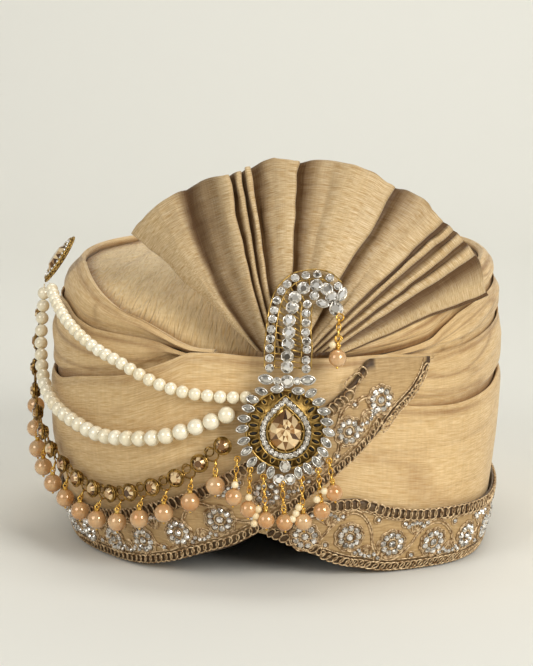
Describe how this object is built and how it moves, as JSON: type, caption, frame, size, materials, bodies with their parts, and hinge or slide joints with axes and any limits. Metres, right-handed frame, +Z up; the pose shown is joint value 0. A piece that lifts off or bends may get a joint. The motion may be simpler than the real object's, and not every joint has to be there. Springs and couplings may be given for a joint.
{
  "type": "turban",
  "caption": "Ready-tied turban: overlapping cloth wraps round an open head hollow, pleated front fan, jewelled border, plumed brooch, pearl strands and a stone chain with pearl drops.",
  "frame": {"origin": "centre of the bounding box in plan, at the bottom rim that the turban stands on", "axes": "+Z up, -Y the wearer's face, +Y the back of the head, +X the wearer's left, which is the right of the picture"},
  "size_m": [0.2438, 0.295, 0.1993],
  "materials": {
    "cloth": "soft sheen, fine crosswise crinkle",
    "fan_cloth": "pressed pleats with a soft sheen",
    "dark_cloth": "matt lining",
    "satin": "satin",
    "cord": "twisted cord with a metallic thread",
    "old_gold": "aged, polished on the edges",
    "cream_pearl": "pearl lustre",
    "peach_pearl": "pearl lustre",
    "champagne_stone": "faceted"
  },
  "bodies": {
    "root": {"base_cap": "dark_cloth", "crown": "cloth", "lower_wrap": "cloth", "upper_wrap_1": "cloth", "upper_wrap_2": "cloth", "upper_wrap_3": "cloth", "fan": "fan_cloth", "border_band": "satin", "border_trim_lower": "cord", "border_trim_upper": "cord", "pearl_strand_upper": "cream_pearl", "pearl_strand_lower": "cream_pearl", "stone_chain": "old_gold", "brooch_frame": "old_gold", "pear_stone": "champagne_stone", "hook_drop": "peach_pearl", "side_brooch_frame": "old_gold", "side_brooch_stone": "champagne_stone", "chain_drop_01": "peach_pearl", "chain_drop_02": "peach_pearl", "chain_drop_03": "peach_pearl", "chain_drop_04": "peach_pearl", "chain_drop_05": "peach_pearl", "chain_drop_06": "peach_pearl", "chain_drop_07": "peach_pearl", "chain_drop_08": "peach_pearl", "chain_drop_09": "peach_pearl", "chain_drop_10": "peach_pearl", "chain_drop_11": "peach_pearl", "chain_drop_12": "peach_pearl", "chain_drop_13": "peach_pearl", "tassel_1": "peach_pearl", "tassel_2": "peach_pearl", "tassel_3": "peach_pearl", "tassel_4": "peach_pearl", "tassel_5": "peach_pearl", "tassel_6": "peach_pearl", "tassel_7": "peach_pearl"}
  },
  "joints": []
}
